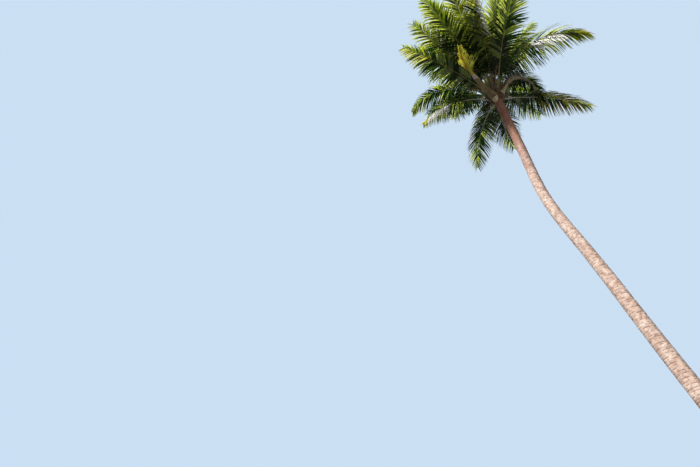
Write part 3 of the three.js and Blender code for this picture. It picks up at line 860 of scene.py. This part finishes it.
def leaflet_lines(frond, midline, s, side, jitter, extra_hang, size):
    """Centrelines of leaflets: points and directions, the way along the rib there, and lengths."""
    along, across, out = rib_frame(frond, s)
    share = (s - frond.bare) / (1 - frond.bare)
    usual = mix(LEAFLET_ANGLE_AT_STALK, LEAFLET_ANGLE_AT_TIP, share)
    angle = np.radians(frond.open * usual + jitter["angle"])
    spread_way = along * np.cos(angle)[:, None] + across * (side * np.sin(angle))[:, None]
    root_hang = HANG_AT_ROOT * frond.hang + extra_hang + jitter["wilt"]
    tip_hang = LEAST_HANG_AT_TIP + HANG_AT_TIP * frond.hang + extra_hang + jitter["hang"] + jitter["wilt"]
    fullness = np.sin(math.pi * (FULLNESS_START + FULLNESS_RANGE * share)) ** FULLNESS_POWER
    if frond.open < 1:
        fullness = mix(*CLOSED_LENGTHS, share)
    length = LEAFLET_LENGTH * frond.length / FULL_FROND_LENGTH * fullness * jitter["length"] * size
    t = (np.arange(LEAFLET_STEPS) + 0.5) / LEAFLET_STEPS
    hang = mix(root_hang[:, None], tip_hang[:, None], (t[None] - HANG_FROM) / HANG_OVER)
    hang = hang + jitter["droop"][:, None] * np.clip(t[None] - jitter["break"][:, None], 0, 1)
    sway = jitter["sway"][:, None] * t[None]
    ways = unit(spread_way[:, None] + along[:, None] * sway[..., None] - UP * hang[..., None])
    steps = ways * (length / LEAFLET_STEPS)[:, None, None]
    width, depth = rib_halves(frond, s)
    aside = across * (side * width * ROOT_ASIDE)[:, None]
    root = points_at(midline, s) + aside + out * (depth * ROOT_RAISED)[:, None]
    points = np.concatenate([root[:, None], root[:, None] + np.cumsum(steps, axis=1)], axis=1)
    ends = np.concatenate([ways[:, :1], (ways[:, 1:] + ways[:, :-1]) / 2, ways[:, -1:]], axis=1)
    return points, unit(ends), along, length


def meets_limb(tree, owners, own, points):
    """True if a leaflet's centreline meets a limb that isn't its own."""
    for a, b in zip(points[:-1], points[1:]):
        way = Vector(b - a)
        found = tree.ray_cast(Vector(a), way.normalized(), way.length)
        if found[2] is not None and owners[found[2]] != own:
            return True
    return False


# Extra hang and size that a leaflet tries in turn until it meets no other limb. Past these it is skipped
FITS = [(0.0, 1.0), (0.25, 1.0), (-0.25, 1.0), (0.5, 0.95), (-0.45, 0.95), (0.0, 0.7), (0.0, 0.42)]


def clear_leaflets(frond, midline, s, side, jitter, tree, owners):
    hang = np.zeros(len(s))
    size = np.ones(len(s))
    waiting = np.arange(len(s))
    for extra, smaller in FITS:
        hang[waiting] = extra
        size[waiting] = smaller
        points, _, _, _ = leaflet_lines(frond, midline, s, side, jitter, hang, size)
        waiting = np.array([i for i in waiting if meets_limb(tree, owners, frond.name, points[i])], int)
        if not len(waiting):
            break
    kept = np.setdiff1d(np.arange(len(s)), waiting)
    points, ways, along, length = leaflet_lines(frond, midline, s, side, jitter, hang, size)
    return kept, points[kept], ways[kept], along[kept], length[kept]


def leaflet_skins(side, points, ways, along, length, twist):
    """Closed folded blades: a left edge, a raised fold, a right edge and an underside at each station."""
    count = len(points)
    t = np.linspace(0, 1, LEAFLET_STEPS + 1)
    edge = unit(along[:, None] - ways * np.sum(along[:, None] * ways, axis=-1, keepdims=True))
    agrees = np.where(np.sum(edge[:, 1:] * edge[:, :-1], axis=-1) < 0, -1.0, 1.0)
    edge[:, 1:] *= np.cumprod(agrees, axis=1)[..., None]
    face = np.cross(edge, ways) * side[:, None, None]
    turn = twist[:, None] * (TWIST_AT_ROOT + t[None])
    cos, sin = np.cos(turn)[..., None], np.sin(turn)[..., None]
    edge, face = edge * cos + face * sin, face * cos - edge * sin
    narrowing, rounding = OUTLINE_POWERS
    outline = np.clip(OUTLINE_ROOT + OUTLINE_WIDENS * t, 0, 1) * (1 - t**narrowing) ** rounding
    half = LEAFLET_WIDTH / 2 * np.clip(length / FULL_WIDTH_LENGTH, *WIDTH_RANGE)[:, None] * outline[None]
    fold = math.radians(LEAFLET_FOLD)
    reach = edge * (half * math.cos(fold))[..., None]
    drop = face * (half * math.sin(fold))[..., None]
    thick = face * (LEAFLET_THICKNESS * (1 - LEAFLET_THINNING * t))[None, :, None]
    rings = np.stack([points - reach - drop, points, points + reach - drop, points - thick], axis=2)
    body = rings[:, :-1].reshape(count, -1, 3)
    skins = np.concatenate([body, points[:, -1:]], axis=1)
    return skins.reshape(-1, 3)


def leaflet_faces(sides):
    """Faces of each leaflet, whose points are its rings and then its tip, and each face's step along it."""
    last = LEAFLET_SIDES * (LEAFLET_STEPS - 1)
    tip = last + LEAFLET_SIDES
    single = []
    for start in range(0, last, LEAFLET_SIDES):
        for i in range(LEAFLET_SIDES):
            low, low_after = start + i, start + (i + 1) % LEAFLET_SIDES
            single.append([low, low_after, low_after + LEAFLET_SIDES, low + LEAFLET_SIDES])
    single += [[last + i, last + (i + 1) % LEAFLET_SIDES, tip] for i in range(LEAFLET_SIDES)]
    single.append(list(range(LEAFLET_SIDES))[::-1])
    faces = []
    for number, side in enumerate(sides):
        for face in single:
            moved = [number * (tip + 1) + i for i in face]
            faces.append(moved if side > 0 else moved[::-1])
    rows = [k for k in range(LEAFLET_STEPS) for _ in range(LEAFLET_SIDES)] + [0]
    return faces, rows


def chance_of(random, choice):
    return random.choice(list(choice), p=list(choice.values()))


def dealt_colours(frond, random, s, side, raised, rows):
    """One colour for each face of a frond's leaflets, by its place on the frond and by chance."""
    share = (s - frond.bare) / (1 - frond.bare)
    body, end = LOOKS[frond.looks]
    towards_end = np.clip((share - FAR_END_FROM) / (FAR_END_FULL - FAR_END_FROM), 0, 1)
    # Painted shade near the stalk, more of it the nearer the stalk, on all but the dying frond
    in_shade = np.clip(1 - share / SHADE_UP_TO, 0, 1) * (frond.looks != "dying")
    colours = []
    colour = ""
    for i in range(len(s)):
        if not colour or side[i] != side[i - 1] or random.uniform() < CHANGE_SHARE:
            choice = end if random.uniform() < towards_end[i] else body
            choice = SHADE if random.uniform() < in_shade[i] else choice
            colour = chance_of(random, choice)
        tip = random.choice(DRY_TIPS) if random.uniform() < DRY_TIP_SHARE else colour
        leaflet = [tip if row >= LEAFLET_STEPS - DRY_TIP_STEPS else colour for row in rows]
        # Among these runs, the pale ones are the painted glint of sun on hanging leaflets
        for name, patch_side, start, stop, patch, (low, high) in PATCHES:
            there = name == frond.name and side[i] == patch_side and start <= share[i] <= stop
            if there and not raised[i] and random.uniform() < PATCH_FULLNESS:
                low += PATCH_EDGE_SPREAD * random.normal() * (low > 0)
                high += PATCH_EDGE_SPREAD * random.normal() * (high < 1)
                part = [low <= (row + 0.5) / LEAFLET_STEPS <= high for row in rows]
                patch_colour = chance_of(random, patch)
                leaflet = [patch_colour if inside else own for inside, own in zip(part, leaflet)]
        colours += [f"leaf_{own}" for own in leaflet]
    return colours


def mark_sharp(mesh):
    """Edges that run along the leaflets stay sharp, so that their folds show."""
    pairs = np.empty(2 * len(mesh.edges), np.int32)
    mesh.edges.foreach_get("vertices", pairs)
    pairs = pairs.reshape(-1, 2)
    sharp = np.abs(pairs[:, 0] - pairs[:, 1]) == LEAFLET_SIDES
    attribute = mesh.attributes.new("sharp_edge", "BOOLEAN", "EDGE")
    attribute.data.foreach_set("value", sharp)


def leaflet_jitter(random, count, wave, share, frond, side):
    """How each leaflet of one side differs from the rule, by chance and in folded and wilted runs."""

    def both(spreads):
        return spreads[0] * random.normal(0, 1, count) + spreads[1] * wave

    broken = random.uniform(0, 1, count) < BROKEN_SHARE
    jitter = {
        "angle": both(ANGLE_SPREAD),
        "hang": both(HANG_SPREAD),
        "length": 1 + LENGTH_SPREAD * random.normal(0, 1, count),
        "sway": SWAY_SPREAD * random.normal(0, 1, count),
        "wilt": np.zeros(count),
        "droop": np.where(broken, BROKEN_DROOP, 0.0),
        "break": random.uniform(*BROKEN_PLACES, count),
        "twist": np.radians(both(TWIST_SPREAD)),
    }
    closer, less_hang = FOLDED.get((frond.name, side), (0, 0))
    jitter["angle"] -= closer * (1 - share)
    jitter["hang"] -= less_hang * (1 - share)
    for name, wilted_side, start, stop, extra, many, turn in WILTED:
        if name == frond.name and side == wilted_side:
            inside = (share >= start) & (share <= stop)
            wilts = random.uniform(0, 1, count) < many
            strength = extra * random.uniform(*WILT_RANGE, count)
            jitter["wilt"] = inside * np.where(wilts, strength, -RAISE)
            jitter["angle"] += RAISED_ANGLE * (inside & ~wilts)
            jitter["twist"] += math.radians(turn) * (inside & wilts)
    return jitter


def add_leaflets(frond, number, midline, tree, owners):
    random = np.random.default_rng(SEEDS["leaflets"] + number)
    count = int(round(frond.length * (1 - frond.bare) / LEAFLET_PITCH))
    parts = []
    for side in (1, -1):
        places = np.arange(count) + 0.5 + random.uniform(-PLACE_SPREAD, PLACE_SPREAD, count)
        s = mix(frond.bare, LAST_LEAFLET, places / count)
        wave = np.sin(s * random.uniform(*WAVE_TURNS) + random.uniform(*WAVE_STARTS)) * WAVE_SIZE
        share = (s - frond.bare) / (1 - frond.bare)
        jitter = leaflet_jitter(random, count, wave, share, frond, side)
        kept, *lines = clear_leaflets(frond, midline, s, side, jitter, tree, owners)
        raised = jitter["wilt"][kept] < 0
        parts.append((s[kept], np.full(len(kept), side), raised, *lines, jitter["twist"][kept]))
    s, side, raised, *shapes = (np.concatenate(part) for part in zip(*parts))
    points = leaflet_skins(side, *shapes).tolist()
    faces, rows = leaflet_faces(side)
    colours = dealt_colours(frond, random, s, side, raised, rows)
    name = f"leaflets_{frond.name}"
    piece = add_piece(name, points, faces, colours, leaf_slot(frond), frond_nodes(frond))
    mark_sharp(piece.data)


def rib_colour(frond, s):
    for end, colour in RIB_BANDS.get(frond.name, ((1.0, frond.rib),)):
        if s <= end:
            return colour


def add_rib(frond, s, rings):
    random = np.random.default_rng(SEEDS["ribs"])
    places = s[:-1, None] + BAND_EDGE_SPREAD * random.normal(0, 1, RIB_SIDES)
    colours = [rib_colour(frond, min(place, 1.0)) for place in places.ravel()]
    colours += [rib_colour(frond, s[0]), rib_colour(frond, s[-1])]
    add_piece(f"rib_{frond.name}", *joined([(rings, colours)]), leaf_slot(frond), frond_nodes(frond))


def trough(centres, across, out, half_widths, bend_radii, half_depths):
    """Rings of a plate that is bent across its length, thick in the middle and thin at its edges."""
    x = np.linspace(-1, 1, TROUGH_POINTS)
    reach = half_widths[:, None] * x
    radii = np.maximum(bend_radii, TROUGH_LEAST_BEND * half_widths)[:, None]
    bend = radii - np.sqrt(radii**2 - reach**2)
    thick = half_depths[:, None] * np.sqrt(1 - TROUGH_THINNING * x**2)
    plate = centres[:, None] + across[:, None] * reach[..., None]
    outer = plate + out[:, None] * (thick - bend)[..., None]
    inner = plate - out[:, None] * (thick + bend)[..., None]
    return np.concatenate([outer, inner[:, ::-1]], axis=1)


def smooth_path(controls, count):
    """A smooth curve through the controls, with the places of its points from 0 to 1."""
    controls = np.array(controls)
    ends = np.vstack([2 * controls[0] - controls[1], controls, 2 * controls[-1] - controls[-2]])
    places = np.linspace(0, len(controls) - 1, count)
    step = np.minimum(places.astype(int), len(controls) - 2)
    t = (places - step)[:, None]
    a, b, c, d = (ends[step + k] for k in range(4))
    curve = b + 0.5 * t * (c - a + t * (2 * a - 5 * b + 4 * c - d + t * (3 * (b - c) + d - a)))
    return curve, places / (len(controls) - 1)


def leaf_base(frond, midline):
    """A frond's clasping base: up the heart's side to its seat, then out along its rib."""
    heading = math.radians(frond.heading)
    height = LOWEST_SEAT + SEAT_RANGE * frond.seat
    up_side = [heart_side(heading, height - BASE_DROP * k, BASE_LIFT * (1 - k)) for k in BASE_DROPS]
    shares = np.array(BASE_REACHES) * frond.base / frond.length
    centres, places = smooth_path([*up_side, *points_at(midline, shares)], BASE_RINGS)
    across = np.tile([-math.sin(heading), math.cos(heading), 0.0], (BASE_RINGS, 1))
    out = unit(np.cross(across, np.gradient(centres, axis=0)))
    width, depth = rib_halves(frond, shares[-1:])
    girth = math.sqrt(frond.girth)
    size = heart_radius(height) / heart_radius(LOWEST_SEAT)
    widths = np.array([w * size for w in BASE_HALF_WIDTHS] + [BASE_END_WIDTH * width[0]])
    depths = np.array([d * girth for d in BASE_HALF_DEPTHS] + [BASE_END_DEPTH * depth[0]])
    marks = np.linspace(0, 1, len(widths))
    widths, depths = (np.interp(places, marks, sizes) for sizes in (widths, depths))
    rings = trough(centres, across, out, widths, np.full(BASE_RINGS, heart_radius(height)), depths)
    return rings, base_colours(frond, places)


def base_colours(frond, places):
    """One colour for each face of a clasping base: dry at its foot and edges, then painted shade near the
    heart and a painted highlight on the banded frond's foot, then as the rib is.
    """
    banded = frond.name in RIB_BANDS
    # Painted shade on the bases near the heart, and a painted highlight in tan at the banded frond's foot
    foot, foot_end = ("rib_tan", BANDED_HIGHLIGHT_END) if banded else ("rib_foot", BASE_FOOT_END)
    plain = rib_colour(frond, 0.0)
    colours = []
    for place in places[:-1]:
        for column in range(2 * TROUGH_POINTS):
            edge = min(column % TROUGH_POINTS, TROUGH_POINTS - 2 - column % TROUGH_POINTS) < 1
            dry = (place < BASE_DRY_END and not banded) or (edge and place < BASE_FOOT_END)
            colours.append("base_edge" if dry else foot if place < foot_end else plain)
    return colours + ["base_edge", plain]


def fibre_sheet(random, heading, height):
    """Woven fibre that stands off the heart's side, with a ragged top."""
    side = np.linspace(-1, 1, TROUGH_POINTS)
    angles = heading + FIBRE_HALF_ANGLE * side
    top = random.uniform(*FIBRE_TOPS) - FIBRE_TOP_ROUND * side**2
    top = top + FIBRE_TOP_RAGGED * random.normal(0, 1, TROUGH_POINTS)
    rings = []
    for rise in np.linspace(0, 1, FIBRE_RINGS):
        heights = height - FIBRE_BELOW + (top + FIBRE_BELOW) * rise
        radii = heart_radius(heights) + FIBRE_STAND_OFF + FIBRE_FLARE * rise**2
        radii = radii + FIBRE_UNEVENNESS * random.normal(0, 1, TROUGH_POINTS)
        outer = around(radii + FIBRE_HALF_THICKNESS, angles, heights)
        inner = around(radii - FIBRE_HALF_THICKNESS, angles, heights)
        rings.append(HEART_FOOT + np.concatenate([outer, inner[::-1]]))
    return np.array(rings)


def strand(random, start, way, length, radius, droop, steps=STRAND_STEPS):
    """Rings of a thin curved strand that thins out to its end."""
    t = np.linspace(0, 1, steps)[:, None]
    curl = unit(np.cross(way, random.normal(0, 1, 3)))
    ways = unit(way + curl * (random.uniform(*STRAND_CURLS) * t) - UP * (droop * t))
    points = start + np.vstack([np.zeros(3), np.cumsum(ways[:-1] * length / (steps - 1), axis=0)])
    side = unit(np.cross(ways, curl + STRAND_NUDGE))
    other = np.cross(ways, side)
    angles = full_turn(STRAND_SIDES)
    radii = radius * (1 - STRAND_THINNING * t)
    spokes = side[:, None] * np.cos(angles)[:, None] + other[:, None] * np.sin(angles)[:, None]
    return points[:, None] + spokes * radii[:, None]


def add_fibre():
    random = np.random.default_rng(SEEDS["fibre"])
    sheets = []
    for frond in FRONDS:
        for turn in FIBRE_TURNS:
            aside = turn + random.uniform(-FIBRE_TURN_SPREAD, FIBRE_TURN_SPREAD)
            heading = math.radians(frond.heading) + aside
            height = LOWEST_SEAT + SEAT_RANGE * frond.seat * FIBRE_SEAT_SHARE
            sheets.append((fibre_sheet(random, heading, height), "fibre"))
    add_piece("fibre_sheets", *joined(sheets), "leaf_base_fibre", ["crown_heart"])
    strands = []
    for _ in range(STRANDS):
        heading = random.uniform(0, 2 * math.pi)
        start = heart_side(heading, random.uniform(*STRAND_HEIGHTS), STRAND_STAND_OFF)
        way = unit(np.array([math.cos(heading), math.sin(heading), random.uniform(*STRAND_RISES)]))
        length = random.uniform(*STRAND_LENGTHS)
        rings = strand(random, start, way, length, STRAND_RADIUS, random.uniform(*STRAND_DROOPS))
        strands.append((rings, random.choice(["fibre", "base_edge"])))
    add_piece("fibre_strands", *joined(strands), "leaf_base_fibre", ["crown_heart"])


def add_crown():
    limbs = [(add_trunk(), "trunk"), (add_heart(), "heart")]
    midlines = [rib_midline(frond) for frond in FRONDS]
    for frond, midline in zip(FRONDS, midlines):
        s, rings = rib_rings(frond, midline)
        add_rib(frond, s, rings)
        limbs.append((rings, frond.name))
    points, faces, owners = joined(limbs)
    tree = BVHTree.FromPolygons(points, faces)
    for number, frond in enumerate(FRONDS):
        add_leaflets(frond, number, midlines[number], tree, owners)
    bases = [leaf_base(frond, midline) for frond, midline in zip(FRONDS, midlines)]
    add_piece("leaf_bases", *joined(bases), "leaf_base_fibre", ["crown_heart"])


def sheath(stalk, midline):
    """The dry boat-shaped sheath that a flower stalk grew out of, arched over it."""
    t = np.linspace(0, 1, BASE_RINGS)
    shares = t * SHEATH_LENGTH / stalk.length
    _, across, out = rib_frame(stalk, shares)
    centres = points_at(midline, shares) + out * (SHEATH_STAND_OFF + SHEATH_ARCH * t**2)[:, None]
    widths = SHEATH_HALF_WIDTH * np.sin(math.pi * mix(*SHEATH_ENDS, t)) ** SHEATH_END_POWER
    depths = np.full(BASE_RINGS, SHEATH_HALF_THICKNESS)
    return trough(centres, across, -out, widths, SHEATH_BEND * widths, depths)


def add_flower_stalks():
    random = np.random.default_rng(SEEDS["flower_stalks"])
    for stalk in FLOWER_STALKS:
        midline = rib_midline(stalk)
        _, rings = rib_rings(stalk, midline)
        shapes = [(rings, "dry_stalk"), (sheath(stalk, midline), "base_edge")]
        for share in np.linspace(BRANCHLETS_FROM, 1.0, BRANCHLETS):
            along, across, out = rib_frame(stalk, np.array(share))
            turn = random.uniform(0, 2 * math.pi)
            way = unit(along + BRANCHLET_SPREAD * (across * math.cos(turn) + out * math.sin(turn)))
            length = BRANCHLET_LENGTH * random.uniform(*BRANCHLET_LENGTHS) * mix(*BRANCHLET_SIZES, share)
            start = points_at(midline, np.array([share]))[0]
            droop = random.uniform(*BRANCHLET_DROOPS)
            twig = strand(random, start, way, length, BRANCHLET_RADIUS, droop, BRANCHLET_STEPS)
            shapes.append((twig, "dry_stalk"))
        add_piece(f"{stalk.name}_piece", *joined(shapes), "dry_stalk", [stalk.name])


def add_spear():
    """The unopened leaf: its leaflets pressed together into a pleated, slightly twisted spear."""
    midline = rib_midline(SPEAR)
    s = np.linspace(0, 1, RIB_RINGS)
    _, across, out = rib_frame(SPEAR, s)
    radii = np.interp(s, SPEAR_PLACES, SPEAR_RADII)
    angles = full_turn(HEART_SIDES)
    pleats = 1 + SPEAR_PLEAT_DEPTH * np.cos(SPEAR_PLEATS * angles[None] + SPEAR_TWIST * s[:, None])
    spokes = across[:, None] * np.cos(angles)[:, None] + out[:, None] * np.sin(angles)[:, None]
    rings = points_at(midline, s)[:, None] + spokes * (radii[:, None] * pleats)[..., None]
    add_piece("spear_leaf_piece", *joined([(rings, SPEAR.rib)]), "young_leaf", [SPEAR.name])


add_crown()
add_fibre()
add_flower_stalks()
add_spear()


# Studio


def add_floor():
    """A wide pale disc just under the cut of the trunk."""
    tree, shader = principled("floor")
    shader.inputs["Roughness"].default_value = FLOOR_ROUGHNESS
    speckles = ramp(tree, noise(tree, **FLOOR_SPECKLES), FLOOR_COLOURS)
    tree.links.new(speckles, shader.inputs["Base Color"])
    points = around(FLOOR_RADIUS, full_turn(FLOOR_SIDES), 0.0)
    mesh = bpy.data.meshes.new("floor")
    mesh.from_pydata(points.tolist(), [], [list(range(FLOOR_SIDES))])
    mesh.materials.append(MATERIALS["floor"])
    floor = bpy.data.objects.new("floor", mesh)
    floor.location.z = -FLOOR_DROP
    floor.visible_diffuse = False
    bpy.context.scene.collection.objects.link(floor)


def add_world():
    """A pale backdrop for the camera, and a dome that lights the palm, mostly from above."""
    world = bpy.data.worlds.new("studio")
    bpy.context.scene.world = world
    world.use_nodes = True
    tree = world.node_tree
    backdrop = tree.nodes["Background"]
    backdrop.inputs["Color"].default_value = (*BACKDROP_COLOUR, 1.0)
    dome = tree.nodes.new("ShaderNodeBackground")
    dome.inputs["Color"].default_value = (*DOME_COLOUR, 1.0)
    rise = upward(tree, "Generated")
    strength = spread(tree, rise, DOME_STRENGTH_BELOW, DOME_STRENGTH_ABOVE, *DOME_RANGE)
    tree.links.new(strength, dome.inputs["Strength"])
    seen = tree.nodes.new("ShaderNodeLightPath")
    either = tree.nodes.new("ShaderNodeMixShader")
    tree.links.new(seen.outputs["Is Camera Ray"], either.inputs["Fac"])
    tree.links.new(dome.outputs["Background"], either.inputs[1])
    tree.links.new(backdrop.outputs["Background"], either.inputs[2])
    tree.links.new(either.outputs["Shader"], tree.nodes["World Output"].inputs["Surface"])


def add_lights():
    for name, energy, angle, colour, towards in LIGHTS:
        lamp = bpy.data.lights.new(name, "SUN")
        lamp.energy = energy
        lamp.color = colour
        lamp.angle = math.radians(angle)
        light = bpy.data.objects.new(name, lamp)
        light.rotation_mode = "QUATERNION"
        light.rotation_quaternion = Vector(towards).to_track_quat("Z", "Y")
        bpy.context.scene.collection.objects.link(light)


def add_camera():
    heading = math.radians(CAMERA_HEADING)
    pitch = math.radians(CAMERA_PITCH)
    roll = math.radians(CAMERA_ROLL)
    forward = Vector(
        (math.sin(heading) * math.cos(pitch), math.cos(heading) * math.cos(pitch), math.sin(pitch))
    )
    level = Vector((math.cos(heading), -math.sin(heading), 0))
    upright = level.cross(forward)
    right = math.cos(roll) * level - math.sin(roll) * upright
    up = math.sin(roll) * level + math.cos(roll) * upright
    camera = bpy.data.objects.new("camera", bpy.data.cameras.new("camera"))
    camera.data.lens = CAMERA_LENS
    camera.data.sensor_width = CAMERA_SENSOR
    camera.data.clip_end = CAMERA_SIGHT
    camera.matrix_world = Matrix((right, up, -forward)).transposed().to_4x4()
    camera.location = CAMERA_PLACE
    bpy.context.scene.collection.objects.link(camera)
    bpy.context.scene.camera = camera


add_floor()
add_world()
add_lights()
add_camera()
bpy.context.scene.view_settings.view_transform = "Standard"
